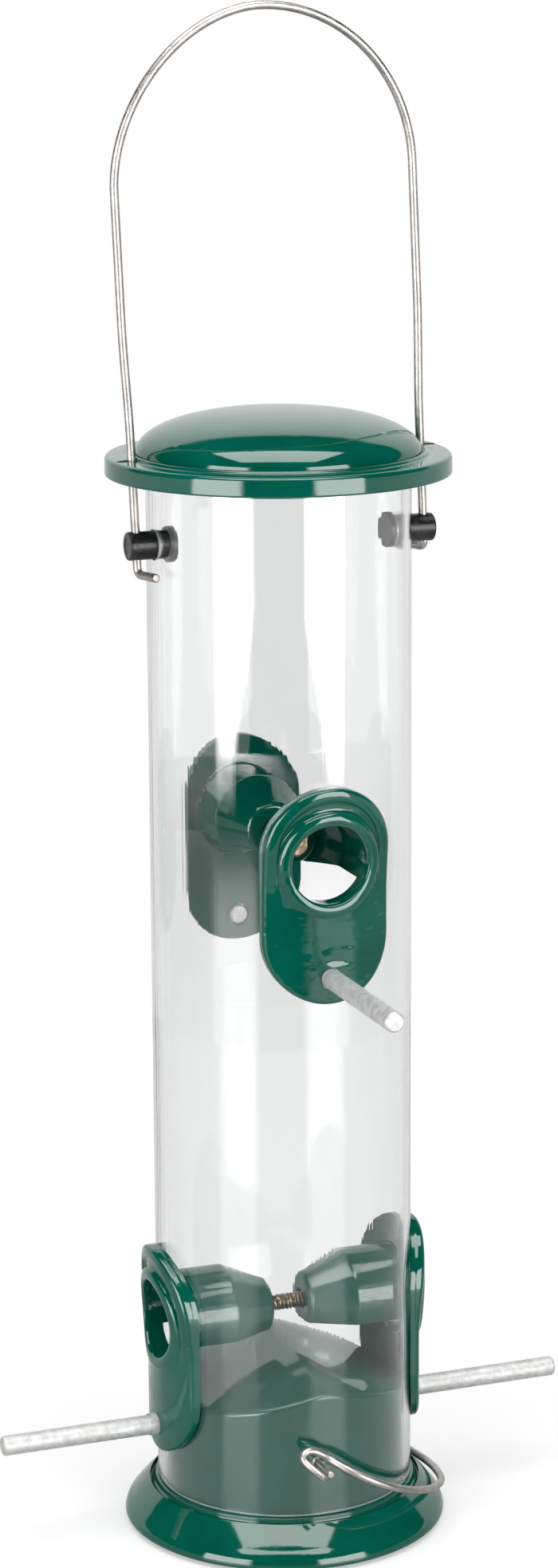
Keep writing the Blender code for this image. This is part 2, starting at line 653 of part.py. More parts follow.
def lid_profile():
    """Lid outline from the apex over the dome, bead and rim, then back underneath."""
    seat = TUBE_TOP + CLEARANCE
    rim_bottom = seat - LID_RIM_DROP
    rim_top = rim_bottom + LID_RIM_HEIGHT
    dome_base = rim_top + DOME_BASE_ABOVE_RIM
    apex = dome_base + DOME_RISE
    skirt_outer = TUBE_INNER_RADIUS - SKIRT_CLEARANCE
    skirt_inner = skirt_outer - SKIRT_WALL
    rim_inner = LID_RADIUS - LID_WALL
    under = rim_top - LID_WALL
    edge = LID_EDGE_ROUND
    outside = dome_points(DOME_RADIUS, dome_base, apex, DOME_STEPS)
    outside += [(BEAD_INNER_RADIUS, rim_top + BEAD_HEIGHT), (BEAD_OUTER_RADIUS, rim_top + BEAD_HEIGHT),
                (BEAD_OUTER_RADIUS + BEAD_FOOT, rim_top), (LID_RADIUS - edge, rim_top),
                (LID_RADIUS - edge / 4, rim_top - edge / 2), (LID_RADIUS, rim_top - edge),
                (LID_RADIUS, rim_bottom + EDGE_BREAK), (LID_RADIUS - EDGE_BREAK, rim_bottom)]
    below = [(rim_inner + EDGE_BREAK, rim_bottom), (rim_inner, rim_bottom + EDGE_BREAK), (rim_inner, under),
             (LID_SEAT_BOSS, under), (LID_SEAT_BOSS, seat), (skirt_outer, seat),
             (skirt_outer, seat - SKIRT_DEPTH), (skirt_inner, seat - SKIRT_DEPTH)]
    inside = dome_points(skirt_inner, apex - LID_WALL - DOME_INSIDE_DEPTH, apex - LID_WALL,
                         DOME_INSIDE_STEPS)
    return outside + below + inside[::-1]


def add_lid(collection, cutters):
    """Domed lid casting with two slots for the bail wires."""
    lid = turned("lid", lid_profile(), collection)
    slots = []
    for name, side in (("left", -1), ("right", 1)):
        ends = sorted((side * SLOT_INNER, side * (SLOT_INNER + SLOT_LENGTH)))
        slots.append(box_cutter(f"lid_{name}_slot", (ends[0], -SLOT_HALF_WIDTH, TUBE_TOP - OVERRUN),
                                (ends[1], SLOT_HALF_WIDTH, TUBE_TOP + 2 * OVERRUN), cutters))
    cut(lid, slots)
    return lid


def clip_point(degrees, standoff, lift):
    """Point of the clip's route from one row of CLIP_LOOP."""
    angle = math.radians(degrees)
    radius = TUBE_RADIUS + standoff / 1000
    return Vector((radius * math.cos(angle), radius * math.sin(angle), lift / 1000))


def add_clip(collection):
    """Locking clip: straight pin, loop round the tube and a hook over the pin's tip."""
    loop = smooth_path([clip_point(*row) for row in CLIP_LOOP], CLIP_SMOOTHING_STEPS)
    points = [Vector((0, CLIP_PIN_TIP, 0)), Vector((0, 0, 0))] + loop
    clip = wire("clip", points, CLIP_WIRE_RADIUS, collection)
    clip.location = (CLIP_PIN_X, 0, CLIP_PIN_HEIGHT)
    clip.rotation_euler = (0, CLIP_DROOP, 0)
    return clip


def paint(objects, material):
    """Give each object a material."""
    for obj in objects:
        obj.data.materials.clear()
        obj.data.materials.append(material)


def main():
    """Build the feeder."""
    clear_scene()
    feeder = new_collection("tube_bird_feeder")
    cutters = new_collection("cutters")
    materials = make_materials()
    castings = [add_base(feeder, cutters), add_lid(feeder, cutters)] + add_ports(feeder, cutters)
    paint(castings, materials["green_enamel"])
    paint([add_tube(feeder, cutters)], materials["clear_tube"])
    paint([add_bail(feeder), add_clip(feeder)], materials["steel_wire"])
    paint(add_pegs(feeder, cutters), materials["black_plastic"])
    paint(add_screws(feeder), materials["brass"])
    paint(add_perches(feeder), materials["aluminium"])


main()
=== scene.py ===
"""Looks of the hanging tube bird feeder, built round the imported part's frame. Metres, +Z up."""

import math

import bmesh
import bpy
from mathutils import Matrix, Vector


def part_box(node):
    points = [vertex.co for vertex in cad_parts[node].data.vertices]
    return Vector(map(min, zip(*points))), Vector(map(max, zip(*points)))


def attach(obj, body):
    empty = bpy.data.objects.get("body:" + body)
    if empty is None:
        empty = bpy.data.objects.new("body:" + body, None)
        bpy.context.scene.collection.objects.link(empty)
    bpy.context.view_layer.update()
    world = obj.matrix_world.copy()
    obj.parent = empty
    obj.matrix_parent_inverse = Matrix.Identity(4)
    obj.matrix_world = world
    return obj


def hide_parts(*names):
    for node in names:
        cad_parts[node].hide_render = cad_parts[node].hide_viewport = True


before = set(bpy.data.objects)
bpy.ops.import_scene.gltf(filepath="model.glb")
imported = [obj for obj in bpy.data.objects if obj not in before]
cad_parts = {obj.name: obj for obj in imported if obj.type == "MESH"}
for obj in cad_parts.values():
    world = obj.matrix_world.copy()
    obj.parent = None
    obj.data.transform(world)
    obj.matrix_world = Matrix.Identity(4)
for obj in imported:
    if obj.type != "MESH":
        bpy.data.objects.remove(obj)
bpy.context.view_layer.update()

# ---------------------------------------------------------------- measures
MM = 0.001
GAP = 0.3 * MM

TUBE_LOW, TUBE_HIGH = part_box("tube")
TUBE_RADIUS = (TUBE_HIGH[0] - TUBE_LOW[0]) / 2
TUBE_WALL = 1.6 * MM
TUBE_INNER = TUBE_RADIUS - TUBE_WALL
TUBE_BOTTOM = TUBE_LOW[2]
TUBE_TOP = TUBE_HIGH[2]

BASE_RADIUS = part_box("base")[1][0]
BASE_SEAT = TUBE_BOTTOM - GAP
DEFLECTOR_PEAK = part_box("base")[1][2]
DEFLECTOR_SLOPE = 0.41
DEFLECTOR_CROWN = 3.5 * MM
RIDGE_ROUND = 3.0 * MM
BASE_WALL = 2.2 * MM

LID_RADIUS = (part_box("lid")[1][0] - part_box("lid")[0][0]) / 2
LID_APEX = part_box("lid")[1][2]

PLATE_ABOVE_AXIS = 18.5 * MM
PLATE_HALF_WIDTH = 15.9 * MM
PLATE_BELOW_AXIS = 34.1 * MM
AXIS_ABOVE_PERCH = 27.7 * MM
PLATE_SEAT = TUBE_RADIUS + GAP
FEED_RADIUS = 9.6 * MM
BARREL_RADIUS = 11.4 * MM
COLLAR_RADIUS = 12.8 * MM
PERCH_RADIUS = (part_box("perch_upper_front")[1][0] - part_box("perch_upper_front")[0][0]) / 2
PERCH_REACH = -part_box("perch_upper_front")[0][1]
PERCH_ROOT = -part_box("perch_upper_front")[1][1]

PEG_HEIGHT = (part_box("peg_right")[0][2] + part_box("peg_right")[1][2]) / 2
WIRE_RADIUS = 1.03 * MM
LEG_HALF_SPACING = TUBE_RADIUS + 4.85 * MM
BAIL_LEAN = math.radians(2.4)
BAIL_SHIFT = 0.7 * MM
CLIP_WIRE_RADIUS = 0.95 * MM
CLIP_PIN = Vector((-2.8 * MM, 0.0, BASE_SEAT + 13.8 * MM))
CLIP_SIDE_DROP = 14.14 * MM
CLIP_DROOP = math.atan(CLIP_SIDE_DROP / TUBE_RADIUS)
CLIP_TIP = -TUBE_RADIUS - 8.0 * MM
PEG_RADIUS = 3.4 * MM
CUT_REACH = 4 * MM

PORTS = {"upper_front": 0.0, "upper_back": math.pi, "lower_right": math.pi / 2, "lower_left": -math.pi / 2}


def axis_height(place):
    """Height of a port's axis."""
    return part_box(f"port_{place}")[1][2] - PLATE_ABOVE_AXIS


# ---------------------------------------------------------------- mesh tools
def new_object(name, bm, smooth_angle=38):
    """Turn a bmesh into a smooth-shaded object."""
    mesh = bpy.data.meshes.new(name)
    bmesh.ops.recalc_face_normals(bm, faces=bm.faces)
    bm.to_mesh(mesh)
    bm.free()
    obj = bpy.data.objects.new(name, mesh)
    bpy.context.scene.collection.objects.link(obj)
    even_shading(obj, smooth_angle)
    return obj


def baked(obj):
    """Apply an object's modifiers."""
    bpy.context.view_layer.update()
    obj.data = bpy.data.meshes.new_from_object(obj.evaluated_get(bpy.context.evaluated_depsgraph_get()))
    obj.modifiers.clear()


def even_shading(obj, smooth_angle):
    """Shade smooth, with normals that follow the larger faces so that flats stay flat."""
    obj.data.shade_smooth()
    obj.data.set_sharp_from_angle(angle=math.radians(smooth_angle))
    weighted = obj.modifiers.new("weighted", "WEIGHTED_NORMAL")
    weighted.mode = "FACE_AREA"
    weighted.keep_sharp = True
    baked(obj)


def fillet(points, steps=5):
    """Round the corners of a line of (radius, height, fillet) points, all in mm."""
    out = []
    for i, (x, y, r) in enumerate(points):
        here = Vector((x, y))
        if r <= 0 or i in (0, len(points) - 1):
            out.append((x * MM, y * MM))
            continue
        before = Vector(points[i - 1][:2]) - here
        after = Vector(points[i + 1][:2]) - here
        reach = min(r, before.length * 0.49, after.length * 0.49)
        start = here + before.normalized() * reach
        end = here + after.normalized() * reach
        for step in range(steps + 1):
            t = step / steps
            p = start * (1 - t) ** 2 + here * 2 * t * (1 - t) + end * t ** 2
            out.append((p.x * MM, p.y * MM))
    return out


def lathe(bm, profile, segments, closed):
    """Turn (radius, height) points about Z into a skin."""
    rows = []
    for radius, height in profile:
        if radius < 1e-7:
            rows.append([bm.verts.new((0, 0, height))])
            continue
        rows.append([bm.verts.new((radius * math.cos(math.tau * i / segments),
                                   radius * math.sin(math.tau * i / segments), height))
                     for i in range(segments)])
    pairs = list(zip(rows, rows[1:]))
    if closed:
        pairs.append((rows[-1], rows[0]))
    for first, second in pairs:
        for i in range(segments):
            j = (i + 1) % segments
            corners = [first[i % len(first)], first[j % len(first)],
                       second[j % len(second)], second[i % len(second)]]
            unique = list(dict.fromkeys(corners))
            if len(unique) > 2:
                bm.faces.new(unique)


def turned(name, profile, segments=128, closed=False, smooth_angle=38):
    """A turned object."""
    bm = bmesh.new()
    lathe(bm, profile, segments, closed)
    return new_object(name, bm, smooth_angle)


def skin(bm, rows, closed_loop):
    """Join rings of points with quads."""
    made = [[bm.verts.new(p) for p in row] for row in rows]
    pairs = list(zip(made, made[1:]))
    if closed_loop:
        pairs.append((made[-1], made[0]))
    for first, second in pairs:
        for i in range(len(first)):
            j = (i + 1) % len(first)
            bm.faces.new((first[i], first[j], second[j], second[i]))
    return made


def rod_rows(points, radius, sides=20, end_round=0.35 * MM):
    """Rings along a line of points for a round wire whose ends are slightly rounded."""
    points = [Vector(p) for p in points]
    tangents = []
    for i, p in enumerate(points):
        tangents.append((points[min(i + 1, len(points) - 1)] - points[max(i - 1, 0)]).normalized())
    side = tangents[0].orthogonal().normalized()
    rows = []
    for i, (p, tangent) in enumerate(zip(points, tangents)):
        side = (side - tangent * side.dot(tangent)).normalized()
        other = tangent.cross(side)
        around = [side * math.cos(math.tau * k / sides) + other * math.sin(math.tau * k / sides)
                  for k in range(sides)]
        levels = [(radius, 0.0)]
        part = 0.3 * end_round
        if i == 0:
            levels = [(radius - end_round, 0.0), (radius - part, part), (radius, end_round)]
        elif i == len(points) - 1:
            levels = [(radius, -end_round), (radius - part, -part), (radius - end_round, 0.0)]
        for reach, along in levels:
            rows.append([p + tangent * along + out * reach for out in around])
    return rows


def rod(name, points, radius, sides=20):
    """A round wire along a line of points."""
    bm = bmesh.new()
    made = skin(bm, rod_rows(points, radius, sides), False)
    bm.faces.new(made[0])
    bm.faces.new(made[-1][::-1])
    return new_object(name, bm, 50)


def catmull(points, steps):
    """Points along the Catmull-Rom curve through the given points."""
    nodes = [Vector(p) for p in points]
    nodes = [2 * nodes[0] - nodes[1]] + nodes + [2 * nodes[-1] - nodes[-2]]
    path = []
    for before, start, end, after in zip(nodes, nodes[1:], nodes[2:], nodes[3:]):
        for step in range(steps):
            t = step / steps
            path.append(0.5 * (2 * start + (end - before) * t
                               + (2 * before - 5 * start + 4 * end - after) * t ** 2
                               + (3 * start - before - 3 * end + after) * t ** 3))
    path.append(nodes[-2])
    return path


def smoothstep(value):
    """Ease from 0 to 1."""
    t = min(max(value, 0.0), 1.0)
    return t * t * (3 - 2 * t)


def cylinder_between(start, end, radius, segments=64):
    """A hidden cylinder, for cutting a hole."""
    start, end = Vector(start), Vector(end)
    bm = bmesh.new()
    bmesh.ops.create_cone(bm, cap_ends=True, segments=segments, radius1=radius, radius2=radius,
                          depth=(end - start).length)
    turn = Vector((0, 0, 1)).rotation_difference(end - start).to_matrix().to_4x4()
    bmesh.ops.transform(bm, matrix=Matrix.Translation((start + end) / 2) @ turn, verts=bm.verts)
    return new_object("cutter", bm)


def block(low, high):
    """A hidden box, for cutting."""
    low, high = Vector(low), Vector(high)
    bm = bmesh.new()
    bmesh.ops.create_cube(bm, size=1.0)
    bmesh.ops.scale(bm, vec=high - low, verts=bm.verts)
    bmesh.ops.translate(bm, vec=(low + high) / 2, verts=bm.verts)
    return new_object("cutter", bm)


def slot_block(x_low, x_high, half_width, z_low, z_high, steps=10):
    """A hidden block with round ends, for cutting a slot along X."""
    outline = []
    for centre, start in ((x_high - half_width, -math.pi / 2), (x_low + half_width, math.pi / 2)):
        for step in range(steps + 1):
            angle = start + math.pi * step / steps
            outline.append((centre + half_width * math.cos(angle), half_width * math.sin(angle)))
    bm = bmesh.new()
    made = skin(bm, [[(x, y, z) for x, y in outline] for z in (z_low, z_high)], False)
    bm.faces.new(made[0][::-1])
    bm.faces.new(made[1])
    return new_object("cutter", bm)


def carve(obj, cutters, angle=38):
    """Take cutters out of an object."""
    for cutter in cutters:
        modifier = obj.modifiers.new("carve", "BOOLEAN")
        modifier.object = cutter
        modifier.operation = "DIFFERENCE"
        modifier.solver = "EXACT"
    baked(obj)
    even_shading(obj, angle)
    for cutter in cutters:
        bpy.data.objects.remove(cutter, do_unlink=True)


def place(obj, matrix):
    """Move an object's mesh, so that the object itself stays at the origin."""
    obj.data.transform(matrix)
    obj.data.update()


# ---------------------------------------------------------------- materials
class Nodes:
    """Short calls for building a node tree."""

    def __init__(self, tree):
        self.tree = tree
        tree.nodes.clear()

    def add(self, kind, links=(), **values):
        """Add a node, link inputs and set values by input name or property."""
        node = self.tree.nodes.new(kind)
        for key, value in values.items():
            setattr(node, key, value)
        for socket, value in dict(links).items():
            target = node.inputs[socket]
            if isinstance(value, bpy.types.NodeSocket):
                self.tree.links.new(value, target)
            else:
                target.default_value = value
        return node

    def coords(self):
        """Object coordinates, in metres."""
        return self.add("ShaderNodeTexCoord").outputs["Object"]

    def math(self, operation, a, b=0.0, clamp=False):
        """A maths node's result."""
        return self.add("ShaderNodeMath", {0: a, 1: b}, operation=operation, use_clamp=clamp).outputs[0]

    def noise(self, vector, scale, detail=2.0, roughness=0.5):
        """Noise from 0 to 1."""
        return self.add("ShaderNodeTexNoise", {"Vector": vector, "Scale": scale, "Detail": detail,
                                               "Roughness": roughness}).outputs["Fac"]

    def stretch(self, vector, scale):
        """Coordinates scaled along each axis."""
        return self.add("ShaderNodeMapping", {"Vector": vector, "Scale": scale}).outputs[0]

    def ramp(self, value, low, high, to_low=0.0, to_high=1.0):
        """Map a range to another, with ends held."""
        return self.add("ShaderNodeMapRange", {"Value": value, "From Min": low, "From Max": high,
                                               "To Min": to_low, "To Max": to_high},
                        interpolation_type="SMOOTHSTEP").outputs[0]

    def mix(self, factor, a, b):
        """Mix two colours."""
        node = self.add("ShaderNodeMix", data_type="RGBA")
        for socket, value in ((node.inputs[0], factor), (node.inputs[6], a), (node.inputs[7], b)):
            if isinstance(value, bpy.types.NodeSocket):
                self.tree.links.new(value, socket)
            else:
                socket.default_value = value if not isinstance(value, tuple) else (*value, 1.0)
        return node.outputs[2]

    def bump(self, height, distance, strength=1.0, normal=None):
        """A bumped normal, its height in metres at 1."""
        node = self.add("ShaderNodeBump", {"Height": height, "Distance": distance, "Strength": strength})
        if normal is not None:
            self.tree.links.new(normal, node.inputs["Normal"])
        return node.outputs[0]

    def surface(self, shader):
        """Use a shader as the surface."""
        self.add("ShaderNodeOutputMaterial", {"Surface": shader})


def new_material(name):
    """A material with an empty node tree."""
    material = bpy.data.materials.new(name)
    material.use_nodes = True
    return material, Nodes(material.node_tree)


def enamel(name, ripple, speck=0.5):
    """Deep green enamel: flowed gloss with a faint orange peel, small pimples and dust specks.

    Outside the tube the enamel ran more, so its ripples are deeper there and lie across the part.
    """
    material, n = new_material(name)
    at = n.coords()
    broad = n.noise(at, 60.0, 3.0)
    colour = n.mix(n.ramp(broad, 0.35, 0.68), (0.0005, 0.098, 0.064), (0.0010, 0.122, 0.083))
    cells = n.add("ShaderNodeTexVoronoi", {"Vector": at, "Scale": 330.0, "Randomness": 1.0})
    chosen = n.ramp(cells.outputs["Color"], 0.80, 0.86)
    dot = n.math("MULTIPLY", n.ramp(cells.outputs["Distance"], 0.10, 0.02), chosen)
    colour = n.mix(n.math("MULTIPLY", dot, speck), colour, (0.16, 0.34, 0.29))
    peel = n.bump(n.noise(at, 420.0, 2.0), 0.000012)
    flat = n.add("ShaderNodeVectorMath", {0: at, 1: (1.0, 1.0, 0.0)}, operation="MULTIPLY").outputs[0]
    from_axis = n.add("ShaderNodeVectorMath", {0: flat}, operation="LENGTH").outputs["Value"]
    outside = n.ramp(from_axis, PLATE_SEAT + 0.8 * MM, PLATE_SEAT + 1.6 * MM, 0.05, 1.0)
    waves = n.math("MULTIPLY", n.noise(n.stretch(at, (0.7, 0.7, 1.35)), 150.0, 1.6, 0.5), outside)
    flow = n.bump(waves, ripple * 0.00024, 1.0, peel)
    lumps = n.add("ShaderNodeTexVoronoi", {"Vector": at, "Scale": 95.0, "Randomness": 1.0})
    raised = n.math("MULTIPLY", n.ramp(lumps.outputs["Distance"], 0.16, 0.0),
                    n.ramp(lumps.outputs["Color"], 0.72, 0.80))
    normal = n.bump(raised, 0.00012, 0.8, flow)
    rough = n.ramp(n.noise(at, 130.0, 3.0), 0.3, 0.75, 0.035, 0.085)
    shader = n.add("ShaderNodeBsdfPrincipled", {"Base Color": colour, "Roughness": rough, "IOR": 1.5,
                                                "Normal": normal})
    n.surface(shader.outputs[0])
    return material


def clear_plastic(name, haze, roughness):
    """Clear plastic wall that lamps reach through."""
    material, n = new_material(name)
    at = n.coords()
    lines = n.noise(n.stretch(at, (1.0, 1.0, 0.02)), 900.0, 2.0)
    broad = n.noise(n.stretch(at, (1.0, 1.0, 0.25)), 45.0, 2.0)
    normal = n.bump(lines, 0.000010, 1.0, n.bump(broad, 0.00006))
    shader = n.add("ShaderNodeBsdfPrincipled", {"Base Color": (0.915, 0.92, 0.92, 1.0),
                                                "Roughness": roughness, "IOR": 1.5,
                                                "Transmission Weight": 1.0 - haze, "Normal": normal})
    passed = n.add("ShaderNodeBsdfTransparent", {"Color": (0.95, 0.95, 0.95, 1.0)})
    path = n.add("ShaderNodeLightPath")
    through = n.math("MAXIMUM", path.outputs["Is Shadow Ray"], path.outputs["Is Diffuse Ray"])
    mixed = n.add("ShaderNodeMixShader", {0: through, 1: shader.outputs[0], 2: passed.outputs[0]})
    n.surface(mixed.outputs[0])
    return material


def bright_wire(name):
    """Drawn stainless wire with fine die lines."""
    material, n = new_material(name)
    at = n.coords()
    blotch = n.noise(at, 320.0, 3.0)
    colour = n.mix(n.ramp(blotch, 0.3, 0.7), (0.31, 0.292, 0.278), (0.41, 0.39, 0.37))
    normal = n.bump(blotch, 0.00001)
    rough = n.ramp(n.noise(at, 700.0, 2.0), 0.3, 0.7, 0.38, 0.48)
    shader = n.add("ShaderNodeBsdfPrincipled", {"Base Color": colour, "Metallic": 1.0, "Roughness": rough,
                                                "Normal": normal})
    n.surface(shader.outputs[0])
    return material


def black_plastic(name):
    """Moulded black plastic, scuffed dull in places."""
    material, n = new_material(name)
    at = n.coords()
    scuff = n.ramp(n.noise(at, 520.0, 5.0, 0.65), 0.46, 0.72)
    colour = n.mix(scuff, (0.0105, 0.0110, 0.0120), (0.040, 0.041, 0.040))
    normal = n.bump(n.noise(at, 1500.0, 3.0), 0.00003)
    rough = n.ramp(scuff, 0.0, 1.0, 0.30, 0.55)
    shader = n.add("ShaderNodeBsdfPrincipled", {"Base Color": colour, "Roughness": rough,
                                                "Specular IOR Level": 0.3, "Normal": normal})
    n.surface(shader.outputs[0])
    return material


def dull_brass(name, dark, pale, shine):
    """Tarnished brass; with near-black colours it also serves as painted shade down in the thread roots."""
    material, n = new_material(name)
    at = n.coords()
    colour = n.mix(n.ramp(n.noise(at, 900.0, 4.0), 0.35, 0.7), dark, pale)
    normal = n.bump(n.noise(at, 2200.0, 2.0), 0.00002)
    shader = n.add("ShaderNodeBsdfPrincipled", {"Base Color": colour, "Metallic": shine, "Roughness": 0.36,
                                                "Normal": normal})
    n.surface(shader.outputs[0])
    return material


def tumbled_aluminium(name):
    """Pale tumbled aluminium rod with dents and scratches."""
    material, n = new_material(name)
    at = n.coords()
    mottle = n.noise(at, 480.0, 5.0, 0.6)
    colour = n.mix(n.ramp(mottle, 0.32, 0.66), (0.50, 0.50, 0.495), (0.66, 0.66, 0.65))
    fine = n.bump(n.noise(at, 1700.0, 3.0), 0.00003)
    normal = n.bump(mottle, 0.00008, 1.0, fine)
    rough = n.ramp(n.noise(at, 900.0, 3.0), 0.3, 0.7, 0.52, 0.66)
    shader = n.add("ShaderNodeBsdfPrincipled", {"Base Color": colour, "Metallic": 0.5, "Roughness": rough,
                                                "Normal": normal})
    n.surface(shader.outputs[0])
    return material


def finish_piece(obj, material, body, slot, *nodes):
    """Give a piece its material and its body, and hide the CAD nodes that it stands for. The slot argument is
    not used.
    """
    if not obj.data.materials:
        obj.data.materials.append(material)
    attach(obj, body)
    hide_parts(*nodes)


def clip_hole():
    """Cutter for the clip's pin, right through the tube and the base."""
    reach = Vector((0, TUBE_RADIUS + CUT_REACH, 0))
    return cylinder_between(CLIP_PIN - reach, CLIP_PIN + reach, CLIP_WIRE_RADIUS + GAP, 32)


# ---------------------------------------------------------------- tube
WALL_FACING = 0.80


def build_tube(material, cut_material):
    """Clear tube with its holes; its sawn ends and hole edges scatter light."""
    low, high = TUBE_BOTTOM / MM, TUBE_TOP / MM
    inner, outer = TUBE_INNER / MM, TUBE_RADIUS / MM
    edge = 0.15
    profile = fillet([(inner, low + 8, 0), (inner, high, edge), (outer, high, edge), (outer, low, edge),
                      (inner, low, edge), (inner, low + 4, 0)], 2)
    tube = turned("clear_tube", profile, 192, True, 12)
    cutters = []
    for name, turn in PORTS.items():
        out = Vector((math.sin(turn), -math.cos(turn), 0))
        up = Vector((0, 0, axis_height(name)))
        start, end = out * (TUBE_INNER - CUT_REACH), out * (TUBE_RADIUS + CUT_REACH)
        cutters.append(cylinder_between(start + up, end + up, BARREL_RADIUS + GAP, 96))
        down = Vector((0, 0, AXIS_ABOVE_PERCH))
        cutters.append(cylinder_between(start + up - down, end + up - down, PERCH_RADIUS + GAP, 40))
    for side in (-1, 1):
        start, end = side * (TUBE_INNER - CUT_REACH), side * (TUBE_RADIUS + CUT_REACH)
        cutters.append(cylinder_between((start, 0, PEG_HEIGHT), (end, 0, PEG_HEIGHT), PEG_RADIUS + GAP, 48))
    cutters.append(clip_hole())
    carve(tube, cutters, 12)
    tube.data.materials.append(material)
    tube.data.materials.append(cut_material)
    for face in tube.data.polygons:
        centre = face.center
        along = Vector((centre.x, centre.y, 0)).normalized()
        if abs(face.normal.dot(along)) < WALL_FACING:
            face.material_index = 1
    finish_piece(tube, material, "feeder", "clear_tube", "tube")


# ---------------------------------------------------------------- base
# Rounded outer edge of the foot: millimetres in from the base's radius, and millimetres up
FOOT_ROUND = (
    (1.13, 4.4), (0.73, 3.8), (0.45, 3.25), (0.25, 2.7), (0.11, 2.2), (0.03, 1.75), (0.05, 1.4),
    (0.22, 1.05), (0.62, 0.76), (1.25, 0.5), (2.45, 0.2),
)
FLARE_BOTTOM = 2.4
FLARE_FULLNESS = 1.15


def deflector_height(x, y):
    """Top of the base: a rounded ridge along Y."""
    crown = DEFLECTOR_CROWN * abs(y / (TUBE_INNER - GAP)) ** 4
    fall = math.hypot(x, RIDGE_ROUND) - RIDGE_ROUND
    return DEFLECTOR_PEAK - crown - DEFLECTOR_SLOPE * fall


def build_base(material):
    """Base casting with its flared foot, upstand and deflector."""
    upstand = TUBE_INNER / MM - 0.3
    seat = BASE_SEAT / MM
    peak = DEFLECTOR_PEAK / MM
    wall = BASE_WALL / MM
    radius = BASE_RADIUS / MM
    start = TUBE_RADIUS / MM + 0.7
    bulge = 2 / FLARE_FULLNESS
    top = [(upstand * i / 16, peak, 0) for i in range(16)]
    top += [(upstand, peak, 2.6), (upstand, seat, 0.3), (start, seat, 0.25), (start + 0.15, seat - 1.3, 0.5),
            (start + 0.85, seat - 1.8, 0.45), (start + 1.25, seat - 2.65, 0.5)]
    for step in range(6, 17):
        angle = step / 24 * math.pi / 2
        top.append((start + (radius - start) * math.sin(angle) ** bulge,
                    FLARE_BOTTOM + (seat - FLARE_BOTTOM) * max(math.cos(angle), 0.0) ** bulge, 0))
    top += [(radius - inset, height, 0) for inset, height in FOOT_ROUND]
    top += [(radius - 4.2, 0.0, 0.2),
            (radius - 6.4, 0.0, 0.3), (start, seat - 2 * wall, 1.0), (upstand - wall, seat - wall, 1.0),
            (upstand - wall, peak - 2 * wall, 1.0), (upstand - 2 * wall, peak - wall, 1.0)]
    top += [(upstand * i / 16, peak - wall, 0) for i in range(13, -1, -1)]
    base = turned("base_casting", fillet(top, 5), 192, False, 45)
    for vertex in base.data.vertices:
        if vertex.co.z > TUBE_BOTTOM + 1 * MM:
            vertex.co.z += deflector_height(vertex.co.x, vertex.co.y) - DEFLECTOR_PEAK
    carve(base, [clip_hole()], 45)
    finish_piece(base, material, "feeder", "green_enamel", "base")


# ---------------------------------------------------------------- lid
DOME_POWER = 0.8
INSIDE_RISE = 7.0
SLOT_LENGTH = 5.1 * MM
SLOT_HALF_WIDTH = 1.5 * MM


def build_lid(material):
    """Domed lid with a bead round its dome and two slots for the wires."""
    seat = TUBE_TOP / MM + 0.3
    bottom = seat - 1.7
    top = bottom + 4.6
    dome_base = top + 0.3
    apex = LID_APEX / MM
    dome = TUBE_RADIUS / MM + 2.4
    radius = LID_RADIUS / MM
    skirt_out = TUBE_INNER / MM - 0.6
    skirt_in = skirt_out - 1.9
    inside_apex = apex - 2.0
    boss = TUBE_RADIUS / MM + 1.1
    profile = []
    for step in range(31):
        angle = step / 31 * math.pi / 2
        profile.append((dome * math.sin(angle) ** DOME_POWER,
                        dome_base + (apex - dome_base) * math.cos(angle), 0))
    profile += [(dome + 0.05, dome_base - 0.1, 0.2), (dome + 0.35, dome_base - 0.1, 0.2),
                (dome + 0.45, top + 0.75, 0.3), (dome + 1.35, top + 0.75, 0.4), (dome + 1.75, top, 0.4),
                (dome + 2.6, top, 0.2), (dome + 3.0, top + 0.12, 0.3),
                (radius - 0.1, top, 1.1), (radius, bottom, 0.5), (radius - 2.0, bottom, 0.5),
                (radius - 2.0, top - 2.0, 0.5), (boss, top - 2.0, 0.2), (boss, seat, 0.2),
                (skirt_out, seat, 0.2), (skirt_out, seat - 3.6, 0.4), (skirt_in, seat - 3.6, 0.4),
                (skirt_in, inside_apex - INSIDE_RISE, 0.6)]
    for step in range(11, -1, -1):
        angle = step / 12 * math.pi / 2
        profile.append((skirt_in * math.sin(angle) ** DOME_POWER,
                        inside_apex - INSIDE_RISE + INSIDE_RISE * math.cos(angle), 0))
    lid = turned("lid_casting", fillet(profile, 5), 192, False, 45)
    inner = LEG_HALF_SPACING - WIRE_RADIUS - GAP
    outer = inner + SLOT_LENGTH
    cutters = []
    for side in (-1, 1):
        ends = sorted((side * inner, side * outer))
        cutters.append(slot_block(ends[0], ends[1], SLOT_HALF_WIDTH, TUBE_TOP - 4 * MM, TUBE_TOP + 8 * MM))
    carve(lid, cutters, 45)
    finish_piece(lid, material, "lid", "green_enamel", "lid")


# ---------------------------------------------------------------- ports
ARC = 40
SIDE = 12
PLATE_EDGE_ROUND = 0.85
# Raised border: millimetres in from the plate's outline, and millimetres over its seat
PLATE_RELIEF = ((1.3, 3.26), (2.0, 3.28), (2.6, 3.2), (2.9, 3.0), (3.1, 2.7), (3.3, 2.42), (3.6, 2.3))
# Web between border and collar: share of the way, and millimetres over its seat
PLATE_SWELL = ((0.3, 2.28), (0.6, 2.28), (1.0, 2.3))


